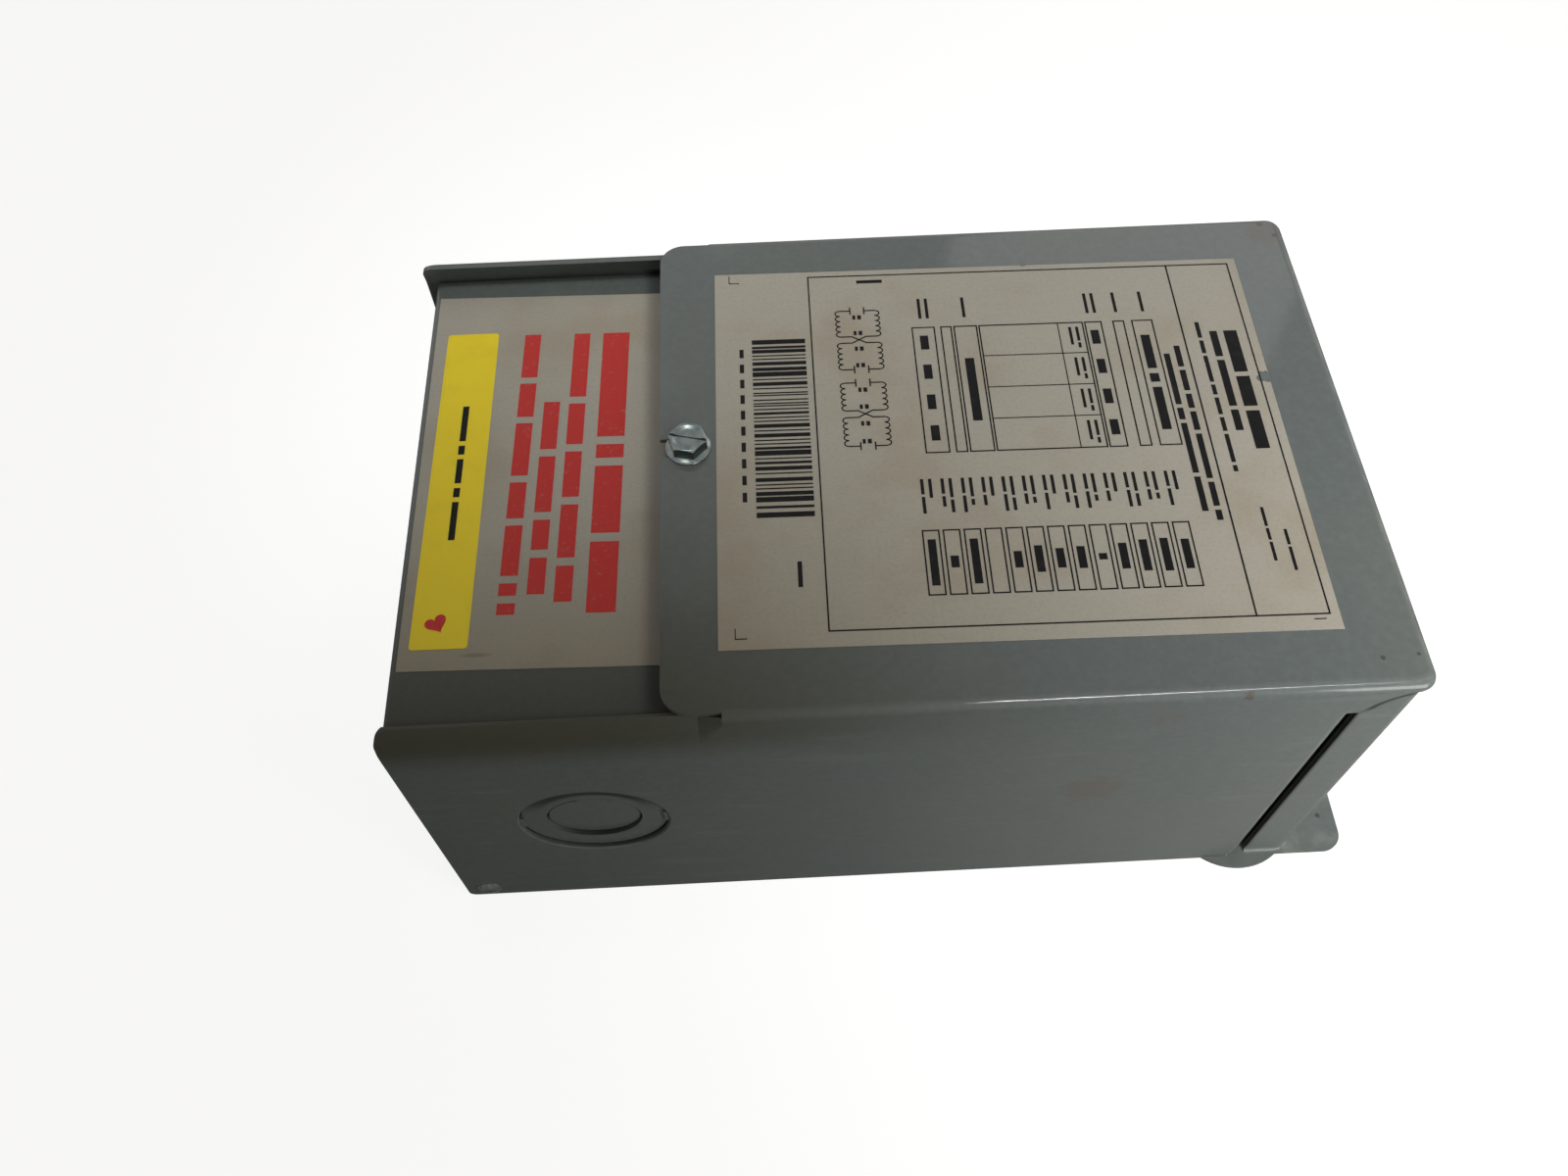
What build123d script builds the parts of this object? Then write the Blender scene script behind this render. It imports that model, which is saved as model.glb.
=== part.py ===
from build123d import *
import os

# A small dry-type transformer in a folded steel case, lying on its back: +Z points out of its
# front panel, +X to the end that is the top on a wall, and the wiring compartment is at -X.
# Every length is in millimetres. The origin is under the middle of the part, on its back.

# Sheet
sheet = 1.2
bend_radius = 2.6
slip = 0.1
hole_clearance = 0.05

# Case: one sheet folded over the front, both sides and the top end
side_length = 206.7
near_side_setback = 2.7
case_width = 136.0
case_height = 98.4
front_overhang = 14.7
front_corner_radius = 4.0
side_nose_radius = 4.5
side_heel_radius = 2.0
side_foot_radius = 6.0
side_return = 9.0
side_edge_drop = 2.0
side_edge_lean = 2.6
side_lean_height = 8.8
side_flare_length = 5.0
skirt_depth = 11.15
skirt_reach = 1.35
skirt_curve_setback = 7.4
skirt_curve_drop = 4.0
skirt_corner_drop = 1.9
lip_setback = 61.8
lip_length = 12.5
lip_side_gap = 1.8
lip_corner_radius = 6.0
lip_slot_width = 5.2

# Back plate: a shallow channel riveted between the sides
back_setback = 5.2
back_flange_height = 10.0
compartment_slot_setback = 31.7

# End cap: end wall, two side flanges, feet and the mounting tab
cap_gap = 2.2
cap_foot_radius = 1.1
tab_length = 15.5
tab_corner_radius = 5.0
ear_chord = 20.0
ear_height = 3.4
ear_setback = 0.7

# Wall slots for 1/4 inch bolts
wall_slot_width = 7.1
wall_slot_length = 10.0
wall_slot_spacing = 90.0
tab_slot_setback = 8.0

# Wiring compartment cover
cover_drop = 9.0
cover_setback = 2.85
cover_bend_radius = 1.4
cover_side_gap = 0.8
cover_step_setback = 2.4
cover_flange_length = 10.0

# Cover screw, hexagon head with a washer face
screw_setback = 6.5
screw_offset = 1.5
washer_diameter = 10.4
washer_thickness = 0.9
hex_across_flats = 7.9
hex_height = 3.0
screw_diameter = 4.8
screw_length = 13.0
driver_slot_width = 1.3
driver_slot_depth = 1.1

# Knockouts for conduit, one in the other, in both sides
knockout_setback = 41.9
knockout_height = 47.4
outer_knockout_diameter = 34.9
inner_knockout_diameter = 22.2
knockout_edge_chamfer = 0.4
shear_gap = 0.45
knockout_tie = 5.0
tie_rise = 0.6
ring_sink = 1.15
disc_sink = 1.65
disc_tilt = 2.6

# Rivets at the lower corners of the sides
rivet_setback = 8.6
rivet_height = 4.8
rivet_head_diameter = 6.4
rivet_head_height = 1.0
rivet_shank_diameter = 3.2
rivet_tail = 1.5
rivet_core_diameter = 1.8

# Potted core and coils
core_setback = 79.7

# Labels and tape
label_thickness = 0.15
rating_label_length = 130.7
rating_label_width = 107.3
rating_label_setback = 74.7
rating_label_offset = 0.7
rating_label_turn = -0.8
cover_label_width = 108.6
cover_label_offset = 5.1
cover_label_turn = -1.4
cover_label_margin = 0.2
tape_length = 90.8
tape_width = 12.7
tape_corner_radius = 0.8
tape_setback = 4.3
tape_offset = 1.9
tape_turn = -0.6

# Places worked out from the sizes above
cap_reach = front_overhang - sheet - slip
overall_length = side_length + cap_reach + tab_length
left_end = -overall_length / 2
side_end = left_end + side_length
front_end = side_end + front_overhang
inner_half_width = case_width / 2 - sheet
inner_bend_radius = bend_radius - sheet
side_edge = case_height - side_edge_drop
lean_start = side_edge - side_lean_height
skirt_edge = case_height - skirt_depth
skirt_run = front_overhang - skirt_reach
corner_edge = case_height - skirt_corner_drop
lip_edge = left_end + lip_setback
bend_start = lip_edge + lip_length
lip_half_width = case_width / 2 - lip_side_gap
flare_start = bend_start - side_flare_length
front_bend = case_height - bend_radius
bend_rise = bend_radius / 2**0.5
cap_start = side_end + cap_gap
cap_end = side_end + cap_reach
tab_end = cap_end + tab_length
cap_half_width = inner_half_width - slip
cover_top = case_height - cover_drop
cover_left = left_end + cover_setback
cover_step = lip_edge + cover_step_setback
cover_half_width = inner_half_width - cover_side_gap
cover_flange_half_width = cover_half_width - side_edge_lean
lip_underside = case_height - sheet
screw_x = lip_edge + screw_setback
knockout_x = left_end + knockout_setback
rivet_x = left_end + rivet_setback
cover_foot = 2 * slip
back_start = left_end + back_setback
back_end = side_end - bend_radius - slip
tongue_end = cap_end - sheet - slip
cap_top = front_bend - slip
lower_slot_x = left_end + compartment_slot_setback
tab_slot_x = cap_end + tab_slot_setback
ear_x = side_end + ear_setback
rim_start = side_end - side_foot_radius / 3
core_start = left_end + core_setback
core_end = side_end - bend_radius - slip

os.makedirs("parts", exist_ok=True)


def knockout_plane(side, sink, tilt=0.0):
    """Plane in a side's knockout, its local y along +Z and its lower half tilted into the case."""
    origin = (knockout_x, side * (case_width / 2 - sink), knockout_height)
    return Plane(origin=origin, x_dir=(1, 0, 0), z_dir=(0, -1, 0)).rotated((-side * tilt, 0, 0))


# The case is folded from one sheet. Over the wiring compartment only its sides run on, as free
# panels whose edges lean inward, and the front reaches past its bends there as a flat lip.
with BuildPart() as case_wrapper:
    # Front, sides and the turned-down top end, as a box with bent edges and drawn corners
    with BuildSketch(Plane.XY) as outline:
        with Locations(((bend_start + front_end) / 2, 0)):
            Rectangle(front_end - bend_start, case_width)
        fillet(outline.vertices().group_by(Axis.X)[-1], front_corner_radius)
    extrude(amount=case_height)
    top_edges = case_wrapper.faces().sort_by(Axis.Z)[-1].edges().sort_by(Axis.X)
    fillet(top_edges[1:], bend_radius)
    with BuildPart(mode=Mode.PRIVATE) as inside:
        with BuildSketch(Plane.XY) as outline:
            with Locations(((bend_start + front_end - sheet) / 2, 0)):
                Rectangle(front_end - sheet - bend_start, case_width - 2 * sheet)
            fillet(outline.vertices().group_by(Axis.X)[-1], front_corner_radius - sheet)
        extrude(amount=lip_underside)
        inside_edges = inside.faces().sort_by(Axis.Z)[-1].edges().sort_by(Axis.X)
        fillet(inside_edges[1:], inner_bend_radius)
    add(inside.part, mode=Mode.SUBTRACT)
    # Sides cut back below the skirt, with a curved edge up to the corner
    with BuildSketch(Plane.XZ.offset(-case_width)):
        with BuildLine():
            Polyline(
                (front_end - sheet, corner_edge),
                (front_end - sheet, -sheet),
                (side_end - bend_radius, -sheet),
                (side_end - bend_radius, skirt_edge),
                (front_end - skirt_run, skirt_edge),
            )
            ThreePointArc(
                (front_end - skirt_run, skirt_edge),
                (front_end - skirt_curve_setback, case_height - skirt_curve_drop),
                (front_end - sheet, corner_edge),
            )
        make_face()
    extrude(amount=2 * case_width, mode=Mode.SUBTRACT)
    # Top end cut back to a flange with curved ends
    with BuildSketch(Plane.YZ.offset(front_end - sheet)):
        with BuildLine():
            for side in (-1, 1):
                ThreePointArc(
                    (side * (case_width / 2 - skirt_run), skirt_edge),
                    (side * (case_width / 2 - skirt_curve_setback), case_height - skirt_curve_drop),
                    (side * inner_half_width, corner_edge),
                )
                Polyline(
                    (side * inner_half_width, corner_edge),
                    (side * case_width, corner_edge),
                    (side * case_width, -sheet),
                )
            Line((-case_width, -sheet), (case_width, -sheet))
            Line((skirt_run - case_width / 2, skirt_edge), (case_width / 2 - skirt_run, skirt_edge))
        make_face()
    extrude(amount=2 * sheet, mode=Mode.SUBTRACT)
    # Sides turned inward at their top ends
    for side in (-1, 1):
        with BuildSketch(Plane.XY):
            with BuildLine():
                outer_y = side * case_width / 2
                inner_y = side * inner_half_width
                corner_y = side * (case_width / 2 - bend_radius)
                return_y = side * (case_width / 2 - side_return)
                Line((side_end - bend_radius, inner_y), (side_end - bend_radius, outer_y))
                TangentArc((side_end - bend_radius, outer_y), (side_end, corner_y), tangent=(1, 0))
                Line((side_end, corner_y), (side_end, return_y))
                Line((side_end, return_y), (side_end - sheet, return_y))
                Line((side_end - sheet, return_y), (side_end - sheet, corner_y))
                TangentArc((side_end - sheet, corner_y), (side_end - bend_radius, inner_y), tangent=(0, side))
            make_face()
        extrude(amount=skirt_edge)
    # Side panels beside the wiring compartment. Their free edges lean inward on a wide curve that
    # runs out into the bend of the front, and both corners of their ends are rounded.
    for side, panel_start in ((-1, left_end + near_side_setback), (1, left_end)):
        outer_y = side * case_width / 2
        sections = (
            (panel_start, lean_start, side_edge_lean, side_edge),
            (flare_start, lean_start, side_edge_lean, side_edge),
            (bend_start, front_bend, bend_radius - bend_rise, front_bend + bend_rise),
        )
        for section_x, curve_start, inset, top in sections:
            with BuildSketch(Plane.YZ.offset(section_x)):
                with BuildLine():
                    Line((outer_y, 0), (outer_y, curve_start))
                    TangentArc((outer_y, curve_start), (outer_y - side * inset, top), tangent=(0, 1))
                    offset(amount=sheet, side=Side.LEFT if side > 0 else Side.RIGHT)
                make_face()
            if section_x == panel_start:
                extrude(amount=flare_start - panel_start)
        loft()
        with BuildSketch(Plane.XZ.offset(-side * (case_width / 2 + sheet))):
            with Locations((panel_start, side_edge)):
                Rectangle(2 * side_nose_radius, 2 * side_nose_radius)
            with Locations((panel_start + side_nose_radius, side_edge - side_nose_radius)):
                Circle(side_nose_radius, mode=Mode.SUBTRACT)
            with Locations((panel_start, 0)):
                Rectangle(2 * side_heel_radius, 2 * side_heel_radius)
            with Locations((panel_start + side_heel_radius, side_heel_radius)):
                Circle(side_heel_radius, mode=Mode.SUBTRACT)
        extrude(amount=side * case_width / 4, mode=Mode.SUBTRACT)
    # Lip over the cover, cut free from the sides
    with BuildSketch(Plane.XY.offset(lip_underside)) as lip:
        with Locations(((lip_edge + bend_start) / 2, 0)):
            Rectangle(lip_length, 2 * lip_half_width)
        fillet(lip.vertices().group_by(Axis.X)[0], lip_corner_radius)
    extrude(amount=sheet)
    # Open slot for the cover screw
    with BuildSketch(Plane.XY.offset(lip_underside - sheet)):
        with Locations((screw_x, screw_offset)):
            Circle(lip_slot_width / 2)
        with Locations(((screw_x + lip_edge - lip_slot_width) / 2, screw_offset)):
            Rectangle(screw_x - lip_edge + lip_slot_width, lip_slot_width)
    extrude(amount=3 * sheet, mode=Mode.SUBTRACT)
    # Rounded lower corner at the top end of each side
    with BuildSketch(Plane.XZ.offset(-case_width)):
        with Locations((side_end - side_foot_radius / 2, side_foot_radius / 2)):
            Rectangle(side_foot_radius, side_foot_radius)
        with Locations((side_end - side_foot_radius, side_foot_radius)):
            Circle(side_foot_radius, mode=Mode.SUBTRACT)
    extrude(amount=2 * case_width, mode=Mode.SUBTRACT)
    # Knockout and rivet holes through both sides, the knockouts with a broken edge
    with Locations(Plane.XZ.offset(-case_width)):
        with Locations((knockout_x, knockout_height)):
            Cylinder(
                outer_knockout_diameter / 2,
                2 * case_width,
                align=(Align.CENTER, Align.CENTER, Align.MIN),
                mode=Mode.SUBTRACT,
            )
        with Locations((rivet_x, rivet_height)):
            Cylinder(
                rivet_shank_diameter / 2 + hole_clearance,
                2 * case_width,
                align=(Align.CENTER, Align.CENTER, Align.MIN),
                mode=Mode.SUBTRACT,
            )
    round_edges = case_wrapper.edges().filter_by(GeomType.CIRCLE)
    hole_edges = [e for e in round_edges if abs(e.radius - outer_knockout_diameter / 2) < slip]
    chamfer([e for e in hole_edges if abs(e.center().Y) > inner_half_width + slip], knockout_edge_chamfer)
case_wrapper.part.label = "case_wrapper"
export_step(case_wrapper.part, "parts/case_wrapper.step")

# The back plate is a shallow pan between the sides. A tongue runs on under the end cap.
with BuildPart() as back_plate:
    with BuildSketch(Plane.XY):
        with Locations(((back_start + back_end) / 2, 0)):
            Rectangle(back_end - back_start, 2 * cap_half_width)
    extrude(amount=back_flange_height)
    back_edges = back_plate.faces().sort_by(Axis.Z)[0].edges()
    fillet(back_edges.filter_by(Axis.X) + [back_edges.sort_by(Axis.X)[0]], bend_radius)
    with BuildPart(mode=Mode.PRIVATE) as pan:
        with BuildSketch(Plane.XY.offset(sheet)):
            with Locations(((back_start + sheet + back_end + sheet) / 2, 0)):
                Rectangle(back_end - back_start, 2 * (cap_half_width - sheet))
        extrude(amount=back_flange_height)
        pan_edges = pan.faces().sort_by(Axis.Z)[0].edges()
        fillet(pan_edges.filter_by(Axis.X) + [pan_edges.sort_by(Axis.X)[0]], inner_bend_radius)
    add(pan.part, mode=Mode.SUBTRACT)
    with BuildSketch(Plane.XY) as tongue:
        with Locations(((back_end + tongue_end) / 2, 0)):
            Rectangle(tongue_end - back_end, 2 * (cap_half_width - sheet - slip))
        fillet(tongue.vertices().group_by(Axis.X)[-1], inner_bend_radius)
    extrude(amount=sheet)
    with BuildSketch(Plane.XY.offset(-sheet)):
        with Locations((lower_slot_x, 0)):
            with GridLocations(0, wall_slot_spacing, 1, 2):
                SlotOverall(wall_slot_length, wall_slot_width)
    extrude(amount=3 * sheet, mode=Mode.SUBTRACT)
    with Locations(Plane.XZ.offset(-case_width)):
        with Locations((rivet_x, rivet_height)):
            Cylinder(
                rivet_shank_diameter / 2 + hole_clearance,
                2 * case_width,
                align=(Align.CENTER, Align.CENTER, Align.MIN),
                mode=Mode.SUBTRACT,
            )
back_plate.part.label = "back_plate"
export_step(back_plate.part, "parts/back_plate.step")

# The end cap is pressed from one sheet: the end wall with its side flanges, and at its back a
# rim that turns outward as a rounded ear on each side and as the mounting tab at the end.
with BuildPart() as end_cap:
    with BuildSketch(Plane.XY):
        with BuildLine():
            FilletPolyline(
                (cap_start, cap_half_width),
                (cap_end, cap_half_width),
                (cap_end, -cap_half_width),
                (cap_start, -cap_half_width),
                radius=bend_radius,
            )
            offset(amount=sheet, side=Side.RIGHT)
        make_face()
    extrude(amount=cap_top)
    # Mounting tab, its edges in line with the sides of the case
    with BuildSketch(Plane.XY) as tab:
        with Locations(((cap_end - sheet + tab_end) / 2, 0)):
            Rectangle(tab_end - cap_end + sheet, case_width)
        fillet(tab.vertices().group_by(Axis.X)[-1], tab_corner_radius)
    extrude(amount=sheet)
    # Rim beside the side flanges, and an ear that bulges out of it
    ear_radius = (ear_chord**2 / 4 + ear_height**2) / (2 * ear_height)
    for side in (-1, 1):
        with BuildSketch(Plane.XY):
            with Locations(((rim_start + cap_end) / 2, side * (cap_half_width - sheet + case_width / 2) / 2)):
                Rectangle(cap_end - rim_start, case_width / 2 - cap_half_width + sheet)
        extrude(amount=sheet)
        with BuildSketch(Plane.XY):
            with Locations((ear_x, side * (case_width / 2 + ear_height - ear_radius))):
                Circle(ear_radius)
            with Locations((ear_x, side * (case_width / 2 - ear_radius))):
                Rectangle(4 * ear_radius, 2 * ear_radius, mode=Mode.SUBTRACT)
            with Locations((rim_start - ear_radius, side * (case_width / 2 + slip - ear_radius))):
                Rectangle(2 * ear_radius, 2 * ear_radius, mode=Mode.SUBTRACT)
        extrude(amount=sheet)
    # Rounded bend between the walls and the rim
    foot_edges = [
        edge
        for edge in end_cap.edges()
        if all(
            abs(end.Z - sheet) < slip
            and (abs(abs(end.Y) - cap_half_width) < slip or abs(end.X - cap_end) < slip)
            for end in edge.vertices()
        )
    ]
    fillet(foot_edges, cap_foot_radius)
    with BuildSketch(Plane.XY.offset(-sheet)):
        with Locations((tab_slot_x, 0)):
            with GridLocations(0, wall_slot_spacing, 1, 2):
                SlotOverall(wall_slot_length, wall_slot_width)
    extrude(amount=3 * sheet, mode=Mode.SUBTRACT)
end_cap.part.label = "end_cap"
export_step(end_cap.part, "parts/end_cap.step")

# The compartment cover is one strip of sheet: its end wall closes the lower end, and behind the
# lip it steps up to a narrower flange that takes the screw.
with BuildPart() as compartment_cover:
    with BuildSketch(Plane.XZ.offset(-cover_half_width)):
        with BuildLine():
            FilletPolyline(
                (cover_left, cover_foot),
                (cover_left, cover_top),
                (cover_step, cover_top),
                (cover_step, lip_underside - slip),
                (cover_step + cover_flange_length, lip_underside - slip),
                radius=[cover_bend_radius, cover_bend_radius - sheet, cover_bend_radius],
            )
            offset(amount=sheet, side=Side.RIGHT)
        make_face()
    extrude(amount=2 * cover_half_width)
    for side in (-1, 1):
        with BuildSketch(Plane.XY.offset(cover_top - 2 * sheet)):
            notch_start = cover_step - sheet
            notch_end = cover_step + cover_flange_length + sheet
            with Locations(((notch_start + notch_end) / 2, side * (cover_flange_half_width + cover_half_width) / 2)):
                Rectangle(notch_end - notch_start, cover_half_width - cover_flange_half_width)
        extrude(amount=case_height - cover_top + sheet, mode=Mode.SUBTRACT)
    with Locations((screw_x, screw_offset, lip_underside)):
        Hole(screw_diameter / 2 + hole_clearance, depth=2 * sheet)
compartment_cover.part.label = "compartment_cover"
export_step(compartment_cover.part, "parts/compartment_cover.step")

# The core and coils are cast into one block of potting compound that fills the case.
with BuildPart() as potted_core:
    with BuildSketch(Plane.YZ.offset(core_start)) as block:
        with Locations((0, (sheet + slip + lip_underside - slip) / 2)):
            Rectangle(2 * cap_half_width, lip_underside - sheet - 2 * slip)
        fillet(block.vertices().group_by(Axis.Y)[-1], inner_bend_radius + slip)
        for side in (-1, 1):
            with Locations((side * cap_half_width, (back_flange_height + slip) / 2)):
                Rectangle(2 * (sheet + inner_bend_radius), back_flange_height + slip, mode=Mode.SUBTRACT)
    extrude(amount=core_end - core_start)
potted_core.part.label = "potted_core"
export_step(potted_core.part, "parts/potted_core.step")

# Cover screw: washer face, slotted hexagon head and threaded shank
with BuildPart() as cover_screw:
    with Locations((screw_x, screw_offset, case_height)):
        Cylinder(
            washer_diameter / 2,
            washer_thickness,
            align=(Align.CENTER, Align.CENTER, Align.MIN),
        )
        Cylinder(
            screw_diameter / 2,
            screw_length,
            align=(Align.CENTER, Align.CENTER, Align.MAX),
        )
    with BuildSketch(Plane.XY.offset(case_height + washer_thickness)):
        with Locations((screw_x, screw_offset)):
            RegularPolygon(hex_across_flats / 2, 6, major_radius=False)
    extrude(amount=hex_height)
    with BuildSketch(Plane.XY.offset(case_height + washer_thickness + hex_height)):
        with Locations((screw_x, screw_offset)):
            Rectangle(hex_across_flats * 2, driver_slot_width)
    extrude(amount=-driver_slot_depth, mode=Mode.SUBTRACT)
    chamfer(cover_screw.edges().sort_by(Axis.Z)[0], screw_diameter / 5)
cover_screw.part.label = "cover_screw"
export_step(cover_screw.part, "parts/cover_screw.step")

# Knockouts: a disc in a ring, sheared and pressed in from the sides. Two ties hold the ring, one at
# the top holds the disc, which leans inward on it.
for side_name, side in (("near", -1), ("far", 1)):
    outer_hole_radius = outer_knockout_diameter / 2
    inner_hole_radius = inner_knockout_diameter / 2
    with BuildPart() as knockout_ring:
        with BuildSketch(knockout_plane(side, ring_sink)):
            Circle(outer_hole_radius - shear_gap)
            Circle(inner_hole_radius, mode=Mode.SUBTRACT)
        extrude(amount=side * sheet)
        with BuildSketch(knockout_plane(side, ring_sink - tie_rise)):
            Rectangle(2 * outer_hole_radius + sheet, knockout_tie)
            Circle(outer_hole_radius - hole_clearance, mode=Mode.INTERSECT)
            Circle(outer_hole_radius - shear_gap - tie_rise, mode=Mode.SUBTRACT)
        extrude(amount=side * sheet)
    knockout_ring.part.label = f"{side_name}_knockout_ring"
    export_step(knockout_ring.part, f"parts/{side_name}_knockout_ring.step")
    with BuildPart() as knockout_disc:
        with BuildSketch(knockout_plane(side, disc_sink, disc_tilt)):
            Circle(inner_hole_radius - shear_gap)
            with Locations((0, inner_hole_radius / 2)):
                Rectangle(knockout_tie, inner_hole_radius + sheet)
            Circle(inner_hole_radius - hole_clearance, mode=Mode.INTERSECT)
        extrude(amount=side * sheet)
    knockout_disc.part.label = f"{side_name}_knockout_disc"
    export_step(knockout_disc.part, f"parts/{side_name}_knockout_disc.step")

# Blind rivets that hold the sides to the back plate
for side_name, side in (("near", -1), ("far", 1)):
    rivet_plane = Plane(
        origin=(rivet_x, side * case_width / 2, rivet_height),
        x_dir=(1, 0, 0),
        z_dir=(0, 0, side),
    )
    with BuildPart() as rivet:
        with BuildSketch(rivet_plane):
            with BuildLine():
                shank_end = -(2 * sheet + slip + rivet_tail)
                Polyline(
                    (0, -rivet_head_height),
                    (0, shank_end),
                    (rivet_shank_diameter / 2, shank_end),
                    (rivet_shank_diameter / 2, 0),
                    (rivet_head_diameter / 2, 0),
                    (rivet_head_diameter / 2, rivet_head_height / 4),
                )
                ThreePointArc(
                    (rivet_head_diameter / 2, rivet_head_height / 4),
                    (rivet_head_diameter / 3, rivet_head_height * 0.75),
                    (rivet_core_diameter / 2, rivet_head_height),
                )
                Polyline(
                    (rivet_core_diameter / 2, rivet_head_height),
                    (rivet_core_diameter / 2, -rivet_head_height),
                    (0, -rivet_head_height),
                )
            make_face()
        revolve(axis=Axis(rivet_plane.origin, rivet_plane.y_dir))
    rivet.part.label = f"{side_name}_rivet"
    export_step(rivet.part, f"parts/{side_name}_rivet.step")

# Rating label on the front panel, stuck on slightly askew
with BuildPart() as rating_label:
    rating_label_x = left_end + rating_label_setback + rating_label_length / 2
    with BuildSketch(Plane.XY.offset(case_height)):
        with Locations(Location((rating_label_x, rating_label_offset), rating_label_turn)):
            Rectangle(rating_label_length, rating_label_width)
    extrude(amount=label_thickness)
rating_label.part.label = "rating_label"
export_step(rating_label.part, "parts/rating_label.step")

# Label on the compartment cover, stuck on askew from the bend at its end to below the lip
with BuildPart() as cover_label:
    label_start = cover_left + cover_bend_radius + cover_label_margin
    label_end = cover_step - sheet - cover_label_margin
    with BuildSketch(Plane.XY.offset(cover_top)):
        label_middle = (label_start + label_end) / 2
        with Locations(Location((label_middle, cover_label_offset), cover_label_turn)):
            Rectangle(lip_setback, cover_label_width)
        with Locations((label_middle, 0)):
            Rectangle(label_end - label_start, case_width, mode=Mode.INTERSECT)
    extrude(amount=label_thickness)
cover_label.part.label = "cover_label"
export_step(cover_label.part, "parts/cover_label.step")

# Marking tape across the cover label
with BuildPart() as marking_tape:
    tape_x = cover_left + tape_setback + tape_width / 2
    with BuildSketch(Plane.XY.offset(cover_top + label_thickness)):
        with Locations(Location((tape_x, tape_offset), tape_turn)):
            RectangleRounded(tape_width, tape_length, tape_corner_radius)
    extrude(amount=label_thickness)
marking_tape.part.label = "marking_tape"
export_step(marking_tape.part, "parts/marking_tape.step")
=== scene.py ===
import math
import random

import bmesh
import bpy
from mathutils import Matrix, Vector


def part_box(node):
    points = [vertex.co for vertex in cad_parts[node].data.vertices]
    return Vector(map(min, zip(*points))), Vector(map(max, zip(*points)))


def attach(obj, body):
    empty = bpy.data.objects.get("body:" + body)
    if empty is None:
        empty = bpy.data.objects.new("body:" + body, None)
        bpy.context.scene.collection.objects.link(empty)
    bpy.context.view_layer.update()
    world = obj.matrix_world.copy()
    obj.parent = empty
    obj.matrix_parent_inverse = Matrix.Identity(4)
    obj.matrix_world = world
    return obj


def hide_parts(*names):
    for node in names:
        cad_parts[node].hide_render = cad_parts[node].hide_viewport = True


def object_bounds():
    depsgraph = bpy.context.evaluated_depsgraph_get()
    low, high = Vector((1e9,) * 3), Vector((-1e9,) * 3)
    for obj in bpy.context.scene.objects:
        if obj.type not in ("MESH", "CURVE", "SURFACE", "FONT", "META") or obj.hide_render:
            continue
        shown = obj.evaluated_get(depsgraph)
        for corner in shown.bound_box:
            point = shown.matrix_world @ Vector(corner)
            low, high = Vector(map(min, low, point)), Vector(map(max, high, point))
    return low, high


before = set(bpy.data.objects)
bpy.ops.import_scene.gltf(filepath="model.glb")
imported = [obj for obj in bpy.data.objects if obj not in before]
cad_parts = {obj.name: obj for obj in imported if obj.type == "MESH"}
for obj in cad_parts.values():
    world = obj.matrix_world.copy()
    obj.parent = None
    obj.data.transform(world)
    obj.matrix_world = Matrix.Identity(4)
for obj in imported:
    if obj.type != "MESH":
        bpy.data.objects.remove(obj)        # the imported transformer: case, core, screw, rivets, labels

# Every length below is in metres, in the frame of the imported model: the transformer lies on its
# back, its front panel up, its mounting tab at +X and its wiring compartment at -X.
mm = 0.001
cad_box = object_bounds()
case_low, case_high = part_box("case_wrapper")

# Case wrapper: one sheet of steel folded over the front and both sides, with a lip that runs out
# over the wiring compartment. It is sprayed with a grey enamel, slightly pebbled, baked, and
# after years in use dusty, with rubbed bends, a few dark specks and one spot of rust.


def srgb(red, green, blue):
    """A colour as a paint card gives it, 0 to 255, as the shader needs it."""
    linear = []
    for level in (red, green, blue):
        level = level / 255
        linear.append(level / 12.92 if level <= 0.04045 else ((level + 0.055) / 1.055) ** 2.4)
    return (*linear, 1.0)


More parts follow.
